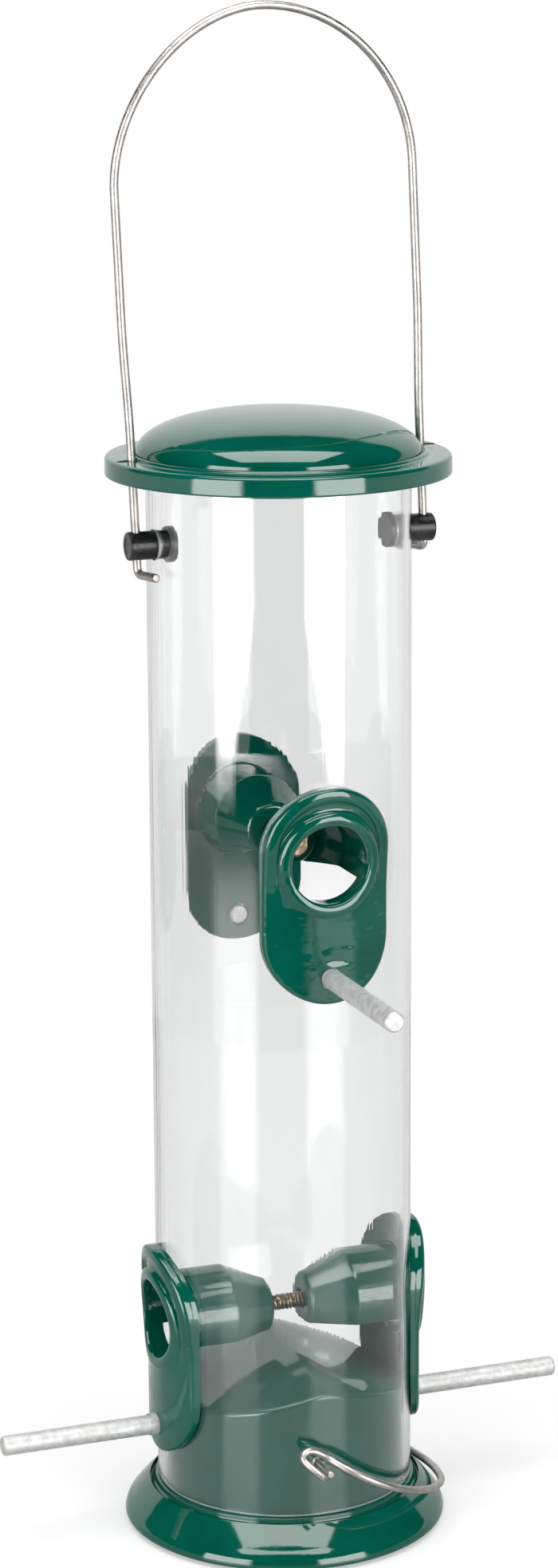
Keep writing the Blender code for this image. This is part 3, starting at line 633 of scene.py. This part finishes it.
def plate_outline(inset):
    """Stadium outline of a plate about the port axis, from its right side over the top."""
    half = PLATE_HALF_WIDTH - inset
    top = PLATE_ABOVE_AXIS - PLATE_HALF_WIDTH
    bottom = PLATE_HALF_WIDTH - PLATE_BELOW_AXIS
    points = [(half * math.cos(math.pi * i / ARC), top + half * math.sin(math.pi * i / ARC))
              for i in range(ARC)]
    points += [(-half, top + (bottom - top) * i / SIDE) for i in range(SIDE)]
    points += [(half * math.cos(math.pi * (1 + i / ARC)), bottom + half * math.sin(math.pi * (1 + i / ARC)))
               for i in range(ARC)]
    points += [(half, bottom + (top - bottom) * i / SIDE) for i in range(SIDE)]
    return points


def ring(radius):
    """Circle about the port axis whose points face those of plate_outline."""
    lower = ARC + 2 * SIDE
    angles = [math.pi * i / ARC for i in range(ARC)] + [math.pi * (1 + i / lower) for i in range(lower)]
    return [(radius * math.cos(a), radius * math.sin(a)) for a in angles]


def blend(first, second, share):
    """Outline part of the way from one to another."""
    return [((1 - share) * a[0] + share * b[0], (1 - share) * a[1] + share * b[1])
            for a, b in zip(first, second)]


def wrapped(outline, thickness):
    """Lay an outline on the tube at thickness(x, z) over the plate's seat."""
    row = []
    for x, z in outline:
        radius = PLATE_SEAT + thickness(x, z)
        row.append(Vector((x, -math.sqrt(radius ** 2 - x ** 2), z)))
    return row


def flat(radius, distance):
    """Circle square to the port axis."""
    return [Vector((x, -distance, z)) for x, z in ring(radius)]


def over_top(z):
    """1 above the feed hole, easing to 0 below it."""
    return smoothstep((z / FEED_RADIUS + 1) / 2)


def level(top, low=1.9):
    """Thickness over the plate's seat, in mm: one value over the feed hole, easing to another below it."""
    return lambda x, z: (low + (top - low) * over_top(z)) * MM


def nose_rows():
    """Rings from the nose's screw hole out over the nose's round shoulder and the barrel to the plate."""
    rows = [flat(2.3 * MM, 5.1 * MM), flat(2.9 * MM, 4.65 * MM),
            flat(3.2 * MM, 4.6 * MM), flat(5.2 * MM, 4.6 * MM)]
    for step in range(1, 7):
        angle = step / 6 * math.pi / 2
        rows.append(flat((5.2 + 1.9 * math.sin(angle)) * MM, (4.6 + 1.7 * (1 - math.cos(angle))) * MM))
    for share in (0.25, 0.5, 0.75, 0.93):
        rows.append(flat((7.1 + 4.25 * share) * MM, (6.3 + 9.4 * share) * MM))
    return rows + [flat(11.34 * MM, 15.6 * MM), flat(11.4 * MM, 16.3 * MM), flat(BARREL_RADIUS, 22 * MM)]


def plate_rows():
    """Rings under the plate, round its edge, over its raised border and its collar."""
    outer = plate_outline(0.0)
    barrel = ring(BARREL_RADIUS)
    on_tube = level(0.0, 0.0)
    rows = [wrapped(barrel, on_tube), wrapped(blend(barrel, outer, 0.5), on_tube), wrapped(outer, on_tube)]
    for step in range(6):
        angle = step / 5 * math.pi / 2
        drop = PLATE_EDGE_ROUND * (1 - math.sin(angle))
        rows.append(wrapped(plate_outline(PLATE_EDGE_ROUND * (1 - math.cos(angle)) * MM),
                            level(3.2 - drop, 1.9 - drop)))
    for inset, top in PLATE_RELIEF:
        rows.append(wrapped(plate_outline(inset * MM), level(top)))
    inner_edge = plate_outline(PLATE_RELIEF[-1][0] * MM)
    for share, top in PLATE_SWELL:
        rows.append(wrapped(blend(inner_edge, ring(COLLAR_RADIUS + 0.15 * MM), share), level(top)))
    for step in range(1, 9):
        angle = math.pi * step / 9
        lift = math.sin(angle) ** 0.7
        rows.append(wrapped(ring(COLLAR_RADIUS - 1.6 * MM * (1 - math.cos(angle))),
                            level(2.35 + 1.25 * lift, 1.9 + 0.9 * lift)))
    return rows


def inside_rows():
    """Rings in through the feed hole and down the barrel's taper to the nose's floor."""
    inside = ((17.7, FEED_RADIUS / MM), (16.6, 9.3), (11.2, 6.0), (10.3, 5.4), (9.4, 5.4), (9.2, 5.1),
              (9.2, 2.3))
    rows = [wrapped(ring(FEED_RADIUS), level(1.9, 1.2)), flat(FEED_RADIUS, 24 * MM)]
    return rows + [flat(radius * MM, distance * MM) for distance, radius in inside]


def build_ports(material):
    """Four port castings."""
    for name, turn in PORTS.items():
        bm = bmesh.new()
        skin(bm, nose_rows() + plate_rows() + inside_rows(), True)
        port = new_object(f"port_casting_{name}", bm, 50)
        beside = BARREL_RADIUS + 0.8 * MM
        underside = block((-beside, 1.0 * MM - TUBE_INNER, -beside), (beside, 4 * MM, -4.8 * MM))
        perch_hole = cylinder_between((0, -TUBE_INNER, -AXIS_ABOVE_PERCH),
                                      (0, -TUBE_RADIUS - 8 * MM, -AXIS_ABOVE_PERCH),
                                      PERCH_RADIUS + 0.15 * MM, 40)
        carve(port, [underside, perch_hole], 42)
        place(port, Matrix.Translation((0, 0, axis_height(name))) @ Matrix.Rotation(turn, 4, "Z"))
        finish_piece(port, material, "feeder", "green_enamel", f"port_{name}")


def build_perches(material):
    """Perch rods with sawn, chamfered ends."""
    reach, root, radius = PERCH_REACH / MM, PERCH_ROOT / MM, PERCH_RADIUS / MM
    profile = fillet([(0, reach, 0), (radius * 0.5, reach - 0.03, 0), (radius - 0.45, reach, 0.15),
                      (radius, reach - 0.4, 0.3), (radius, root + 0.4, 0.2), (radius - 0.4, root, 0.1),
                      (0, root, 0)], 4)
    for name, turn in PORTS.items():
        perch = turned(f"perch_rod_{name}", profile, 48, False, 50)
        at = Matrix.Translation((0, 0, axis_height(name) - AXIS_ABOVE_PERCH))
        place(perch, at @ Matrix.Rotation(turn, 4, "Z") @ Matrix.Rotation(math.pi / 2, 4, "X"))
        finish_piece(perch, material, "feeder", "aluminium", f"perch_{name}")


# ---------------------------------------------------------------- screws
THREAD_RADIUS = 2.0 * MM
THREAD_DEPTH = 0.34 * MM
THREAD_PITCH = 1.0 * MM
STEPS_PER_PITCH = 14
HEX_CORNER = 3.3 * MM


def thread_radius(phase):
    """Radius of the thread at a share of its pitch: a flat crest, sloping flanks and a round root."""
    flank = min(max((abs(2 * phase - 1) - 0.22) / 0.50, 0.0), 1.0)
    return THREAD_RADIUS - THREAD_DEPTH * smoothstep(flank)


def build_screw(name, place_name, turn, material, root_shade_material):
    """Draw screw: a threaded rod, with a hex head in one barrel."""
    sides = 32
    tip, head_face, head_end = -8.6 * MM, 9.5 * MM, 11.9 * MM
    steps = int((head_face - tip) / THREAD_PITCH * STEPS_PER_PITCH)
    bm = bmesh.new()
    rows = []
    for step in range(steps + 1):
        along = tip + (head_face - tip) * step / steps
        row = []
        for k in range(sides):
            radius = thread_radius((along / THREAD_PITCH - k / sides) % 1.0)
            if step == 0:
                radius -= 0.35 * MM
            angle = math.tau * k / sides
            row.append((radius * math.cos(angle), radius * math.sin(angle), along))
        rows.append(row)
    made = skin(bm, rows, False)
    # Faces down in the thread roots get the second material, near-black brass: painted shade.
    root = THREAD_RADIUS - 0.72 * THREAD_DEPTH
    for face in bm.faces:
        middle = face.calc_center_median()
        face.material_index = 1 if math.hypot(middle.x, middle.y) < root else 0
    bm.faces.new(made[0])
    bm.faces.new(made[-1])
    levels = ((0.86, head_face), (1.0, head_face + 0.25 * MM), (1.0, head_end - 0.4 * MM), (0.84, head_end))
    corners = [math.tau * (k + 0.5) / 6 for k in range(6)]
    hexagon = [[(HEX_CORNER * s * math.cos(a), HEX_CORNER * s * math.sin(a), z) for a in corners]
               for s, z in levels]
    made = skin(bm, hexagon, False)
    bm.faces.new(made[0])
    bm.faces.new(made[-1])
    screw = new_object(name, bm, 40)
    at = Matrix.Translation((0, 0, axis_height(place_name)))
    place(screw, at @ Matrix.Rotation(turn, 4, "Z") @ Matrix.Rotation(math.pi / 2, 4, "X"))
    screw.data.materials.append(material)
    screw.data.materials.append(root_shade_material)
    finish_piece(screw, material, "feeder", "brass", name.replace("threaded_", ""))


# ---------------------------------------------------------------- pegs
PEG_LENGTH = 11.8
PEG_HEAD_RADIUS = 4.3


def build_pegs(material):
    """Black pegs, headed inside the tube and cross-drilled for the wire."""
    for name, side in (("left", -1), ("right", 1)):
        wire_x = BAIL_SHIFT + side * LEG_HALF_SPACING / math.cos(BAIL_LEAN)
        end = (abs(wire_x) + 2.2 * MM) / MM
        start = end - PEG_LENGTH
        shank, head = PEG_RADIUS / MM, PEG_HEAD_RADIUS
        profile = fillet([(0, end - 0.15, 0), (1.9, end - 0.15, 0.2), (2.1, end, 0.1), (shank, end, 0.45),
                          (shank, start + 1.8, 0.2), (head, start + 1.8, 0.3), (head, start, 0.35),
                          (0, start, 0)], 4)
        peg = turned(f"peg_moulding_{name}", profile, 64, False, 40)
        place(peg, Matrix.Translation((0, 0, PEG_HEIGHT)) @ Matrix.Rotation(side * math.pi / 2, 4, "Y"))
        reach = 7 * MM
        slant = reach * math.tan(BAIL_LEAN)
        wire_hole = cylinder_between((wire_x + slant, 0, PEG_HEIGHT - reach),
                                     (wire_x - slant, 0, PEG_HEIGHT + reach), WIRE_RADIUS + 0.25 * MM, 32)
        carve(peg, [wire_hole], 40)
        finish_piece(peg, material, "feeder", "black_plastic", f"peg_{name}")


# ---------------------------------------------------------------- wires
# Bail, with heights from its pegs. HOOK_DROP and ARCH_SIDES have one entry for each side; the
# second gives the height where the arch starts and how full it is.
HOOK_DROP = {-1: 5.3 * MM, 1: 6.3 * MM}
HOOK_TURN = math.radians(16)
SPREAD_LOW = 25 * MM
SPREAD_HIGH = 55 * MM
ARCH_SIDES = {-1: (84.6 * MM, 1.84), 1: (86.2 * MM, 2.0)}
ARCH_TOP = 124.7 * MM
ARCH_RADIUS = TUBE_RADIUS + 5.5 * MM


def bail_half(side):
    """Right or left half of the bail from its hook up to just short of the top."""
    toward = Vector((-side * math.sin(HOOK_TURN), side * math.cos(HOOK_TURN), 0))
    bend = 1.6 * MM
    leg = Vector((side * LEG_HALF_SPACING, 0, -HOOK_DROP[side]))
    points = [leg + toward * 8.0 * MM, leg + toward * 5.0 * MM, leg + toward * 3.0 * MM]
    for step in range(10):
        angle = step / 9 * math.pi / 2
        rise = Vector((0, 0, bend * (1 - math.cos(angle))))
        points.append(leg + toward * bend * (1 - math.sin(angle)) + rise)
    for step in range(6):
        points.append(Vector((side * LEG_HALF_SPACING, 0, 1 * MM + (SPREAD_LOW - 1 * MM) * step / 6)))
    for step in range(19):
        share = step / 18
        spread = LEG_HALF_SPACING + (ARCH_RADIUS - LEG_HALF_SPACING) * smoothstep(share)
        points.append(Vector((side * spread, 0, SPREAD_LOW + (SPREAD_HIGH - SPREAD_LOW) * share)))
    start, fullness = ARCH_SIDES[side]
    for step in range(1, 5):
        points.append(Vector((side * ARCH_RADIUS, 0, SPREAD_HIGH + (start - SPREAD_HIGH) * step / 5)))
    for step in range(48):
        angle = step / 48 * math.pi / 2
        points.append(Vector((side * ARCH_RADIUS * math.cos(angle) ** (2 / fullness), 0,
                              start + (ARCH_TOP - start) * math.sin(angle) ** (2 / fullness))))
    return points


def build_bail(material):
    """Wire bail."""
    points = bail_half(-1) + [Vector((0, 0, ARCH_TOP))] + bail_half(1)[::-1]
    bail = rod("bail_wire", points, WIRE_RADIUS, 24)
    place(bail, Matrix.Translation((BAIL_SHIFT, 0, PEG_HEIGHT)) @ Matrix.Rotation(-BAIL_LEAN, 4, "Y"))
    finish_piece(bail, material, "bail", "steel_wire", "bail")


# Degrees round from square to the pin, millimetres out from the tube, and millimetres up off the
# clip's plane
CLIP_LOOP = (
    (90.0, 1.3, 0.0), (89.0, 4.5, 0.0), (85.5, 7.2, -0.1), (79.0, 9.7, -0.3), (66.0, 12.3, -0.8),
    (52.0, 12.8, -1.2), (36.0, 12.9, -1.1), (19.0, 13.8, -0.6), (1.0, 14.7, 0.1), (-16.5, 13.8, 0.6),
    (-33.5, 12.5, 1.0), (-50.5, 12.3, 1.3), (-65.0, 12.0, 1.5), (-73.5, 11.0, 1.8), (-80.5, 9.0, 2.1),
    (-86.0, 6.4, 2.4), (-90.0, 3.9, 2.7), (-95.0, 3.1, 3.2), (-99.0, 3.4, 2.8), (-100.5, 4.1, 1.4),
    (-99.0, 4.9, 0.3), (-96.0, 6.7, -0.4), (-94.0, 8.6, -0.7), (-93.0, 9.8, -0.7),
)


def build_clip(material):
    """Locking clip."""
    route = []
    for degrees, standoff, lift in CLIP_LOOP:
        radius = TUBE_RADIUS + standoff * MM
        angle = math.radians(degrees)
        route.append(Vector((radius * math.cos(angle), radius * math.sin(angle), lift * MM)))
    points = [Vector((0, CLIP_TIP * (1 - i / 10), 0)) for i in range(11)] + catmull(route, 8)
    clip = rod("clip_wire", points, CLIP_WIRE_RADIUS, 20)
    place(clip, Matrix.Translation(CLIP_PIN) @ Matrix.Rotation(CLIP_DROOP, 4, "Y"))
    finish_piece(clip, material, "clip", "steel_wire", "clip")


# ---------------------------------------------------------------- studio
CAMERA_AZIMUTH = math.radians(-20.52)
CAMERA_ELEVATION = math.radians(12.92)
CAMERA_ROLL = math.radians(-0.34)
CAMERA_DISTANCE = 0.95026
CAMERA_TARGET = Vector((0.0, 0.0, 0.18786))
CAMERA_LENS = 90.07
CAMERA_SHIFT = -0.0008
LAMP_TARGET = Vector((0.0, 0.0, 0.17))
BRIGHTNESS = {"side": 10.0, "spill": 0.17, "overhead": 7.5, "plain": 0.50}
FLOOR_RADIUS = 0.46
FLOOR_GREY = (0.80, 0.80, 0.80, 1)
FLOOR_GLOW = 0.42


def direction(azimuth, elevation):
    """Unit vector at an azimuth right of the camera's and an elevation, in degrees."""
    a = CAMERA_AZIMUTH + math.radians(azimuth)
    e = math.radians(elevation)
    return Vector((math.sin(a) * math.cos(e), -math.cos(a) * math.cos(e), math.sin(e)))


def build_camera():
    """Camera for the main view."""
    back = direction(0.0, math.degrees(CAMERA_ELEVATION))
    right = Vector((math.cos(CAMERA_AZIMUTH), math.sin(CAMERA_AZIMUTH), 0.0))
    up = back.cross(right)
    c, s = math.cos(CAMERA_ROLL), math.sin(CAMERA_ROLL)
    right, up = c * right + s * up, c * up - s * right
    data = bpy.data.cameras.new("camera")
    camera = bpy.data.objects.new("camera", data)
    bpy.context.scene.collection.objects.link(camera)
    rotation = Matrix((right, up, back)).transposed().to_4x4()
    camera.matrix_world = Matrix.Translation(CAMERA_TARGET + back * CAMERA_DISTANCE) @ rotation
    data.sensor_width = 36.0
    data.lens = CAMERA_LENS
    data.shift_x = CAMERA_SHIFT
    data.clip_start = 0.05
    bpy.context.scene.camera = camera


def area_lamp(name, azimuth, elevation, distance, width, height, watts):
    """Softbox that lights the object. The world draws its reflection."""
    data = bpy.data.lights.new(name, "AREA")
    data.shape = "RECTANGLE"
    data.size = width
    data.size_y = height
    data.energy = watts
    lamp = bpy.data.objects.new(name, data)
    bpy.context.scene.collection.objects.link(lamp)
    out = direction(azimuth, elevation)
    lamp.location = LAMP_TARGET + out * distance
    lamp.rotation_mode = "QUATERNION"
    lamp.rotation_quaternion = (-out).to_track_quat("-Z", "Y")
    lamp.visible_glossy = False
    lamp.visible_camera = False


def seen_directly(n):
    """Light Path outputs, and 1 for rays that reach the camera straight or through clear plastic."""
    path = n.add("ShaderNodeLightPath").outputs
    bounced = n.math("MINIMUM", n.math("ADD", path["Glossy Depth"], path["Diffuse Depth"]), 1.0)
    seen = n.math("MULTIPLY", path["Is Transmission Ray"], n.math("SUBTRACT", 1.0, bounced))
    return path, n.math("MAXIMUM", path["Is Camera Ray"], seen)


def build_world():
    """World: white behind the object, softboxes and a backdrop for reflections, plain grey for the rest.

    Azimuths are measured from the camera's, with both sides alike, and elevations from level.
    """
    world = bpy.data.worlds.new("studio")
    bpy.context.scene.world = world
    world.use_nodes = True
    n = Nodes(world.node_tree)
    towards = n.add("ShaderNodeTexCoord").outputs["Generated"]
    turned_to = n.add("ShaderNodeVectorRotate", {"Vector": towards, "Angle": -CAMERA_AZIMUTH},
                      rotation_type="Z_AXIS").outputs[0]
    parts = n.add("ShaderNodeSeparateXYZ", {0: turned_to})
    x, y, z = parts.outputs
    front = n.math("MULTIPLY", y, -1.0)
    azimuth = n.math("ABSOLUTE", n.math("ARCTAN2", x, front))
    azimuth = n.math("MULTIPLY", azimuth, 180 / math.pi)
    elevation = n.math("MULTIPLY", n.math("ARCSINE", z), 180 / math.pi)

    def band(value, low, high, soft):
        rise = n.ramp(value, low - soft, low + soft)
        fall = n.ramp(value, high - soft, high + soft, 1.0, 0.0)
        return n.math("MULTIPLY", rise, fall)

    inner = n.ramp(elevation, -12.6, -10.2, 42.0, 24.0)
    lateral = n.math("MULTIPLY", n.ramp(n.math("SUBTRACT", azimuth, inner), -2.5, 2.5),
                     n.ramp(azimuth, 56.0, 60.0, 1.0, 0.0))
    box = n.math("MULTIPLY", lateral, band(elevation, -12.8, 22.0, 0.6))
    spill = n.math("MULTIPLY", band(azimuth, 22.0, 62.0, 6.0), band(elevation, -40.0, -14.2, 0.8))
    sides = n.math("ADD", box, n.math("MULTIPLY", spill, BRIGHTNESS["spill"]))
    up = n.math("MAXIMUM", z, 0.02)
    across = n.math("DIVIDE", x, up)
    along = n.math("DIVIDE", front, up)
    overhead = n.math("MULTIPLY", band(across, -0.53, 0.53, 0.02), band(along, -0.17, 0.68, 0.02))
    overhead = n.math("MULTIPLY", overhead, n.ramp(z, 0.3, 0.35))
    top = n.ramp(azimuth, 104.0, 150.0, 2.0, 45.0)
    above = n.math("SUBTRACT", elevation, top)
    backdrop = n.math("MULTIPLY", n.ramp(azimuth, 57.0, 60.0), n.ramp(above, -3.0, 2.0, 1.0, 0.0))
    studio = n.math("ADD", n.math("MULTIPLY", sides, BRIGHTNESS["side"]),
                    n.math("MULTIPLY", overhead, BRIGHTNESS["overhead"]))
    behind = n.ramp(azimuth, 105.0, 140.0)
    low = n.ramp(elevation, -14.0, -12.5, 0.42, 1.05)
    rear = n.add("ShaderNodeMapRange", {"Value": elevation, "From Min": 0.0, "From Max": 32.0, "To Min": 0.85,
                                        "To Max": 1.5}).outputs[0]
    glow = n.math("ADD", n.math("MULTIPLY", rear, behind),
                  n.math("MULTIPLY", low, n.math("SUBTRACT", 1.0, behind)))
    studio = n.math("ADD", studio, n.math("MULTIPLY", backdrop, glow))
    path, seen = seen_directly(n)
    lit = n.math("MINIMUM", path["Diffuse Depth"], 1.0)
    mirrored = n.math("MULTIPLY", n.math("MINIMUM", path["Glossy Depth"], 1.0), n.math("SUBTRACT", 1.0, lit))
    plain = BRIGHTNESS["plain"]
    strength = n.math("ADD", n.math("MULTIPLY", mirrored, n.math("SUBTRACT", studio, plain)), plain)
    strength = n.math("ADD", n.math("MULTIPLY", seen, n.math("SUBTRACT", 1.0, strength)), strength)
    shader = n.add("ShaderNodeBackground", {"Color": (1, 1, 1, 1), "Strength": strength})
    n.add("ShaderNodeOutputWorld", {"Surface": shader.outputs[0]})


def build_floor():
    """Round pale floor that keeps the object's shadow and reads white round it."""
    bm = bmesh.new()
    bmesh.ops.create_circle(bm, cap_ends=True, segments=96, radius=FLOOR_RADIUS)
    floor = new_object("floor", bm)
    material, n = new_material("pale_floor")
    matt = n.add("ShaderNodeBsdfPrincipled", {"Base Color": FLOOR_GREY, "Roughness": 0.25})
    glow = n.add("ShaderNodeEmission", {"Color": (1, 1, 1, 1), "Strength": FLOOR_GLOW})
    plain = n.add("ShaderNodeBsdfDiffuse", {"Color": FLOOR_GREY})
    bright = n.add("ShaderNodeAddShader", {0: plain.outputs[0], 1: glow.outputs[0]})
    seen = seen_directly(n)[1]
    shader = n.add("ShaderNodeMixShader", {0: seen, 1: matt.outputs[0], 2: bright.outputs[0]})
    n.surface(shader.outputs[0])
    floor.data.materials.append(material)
    floor.location = (0, 0, -0.0002)


def main():
    """Build every piece, then the studio."""
    casting = enamel("green_enamel_casting", 0.06)
    port_enamel = enamel("green_enamel_ports", 1.0)
    clear = clear_plastic("clear_tube_wall", 0.0, 0.0)
    cut_edge = clear_plastic("clear_tube_sawn_edge", 0.35, 0.35)
    wire = bright_wire("stainless_wire")
    brass = dull_brass("threaded_brass", (0.17, 0.125, 0.08), (0.46, 0.345, 0.22), 1.0)
    # Near-black brass painted into the thread roots as shade.
    thread_root_painted_shade = dull_brass("thread_roots_painted_shade", (0.020, 0.015, 0.011), (0.055, 0.041, 0.030), 0.4)
    build_tube(clear, cut_edge)
    build_base(casting)
    build_lid(casting)
    build_ports(port_enamel)
    build_perches(tumbled_aluminium("perch_aluminium"))
    build_screw("threaded_screw_upper", "upper_front", 0.0, brass, thread_root_painted_shade)
    build_screw("threaded_screw_lower", "lower_left", -math.pi / 2, brass, thread_root_painted_shade)
    build_pegs(black_plastic("black_peg_plastic"))
    build_bail(wire)
    build_clip(wire)
    build_camera()
    build_world()
    area_lamp("overhead_softbox", 0.0, 72.0, 1.2, 1.0, 0.8, 6.0)
    area_lamp("right_softbox", 41.0, 8.0, 1.3, 0.7, 0.9, 4.0)
    area_lamp("left_softbox", -41.0, 8.0, 1.3, 0.7, 0.9, 4.0)
    build_floor()
    bpy.context.scene.view_settings.view_transform = "Standard"


main()
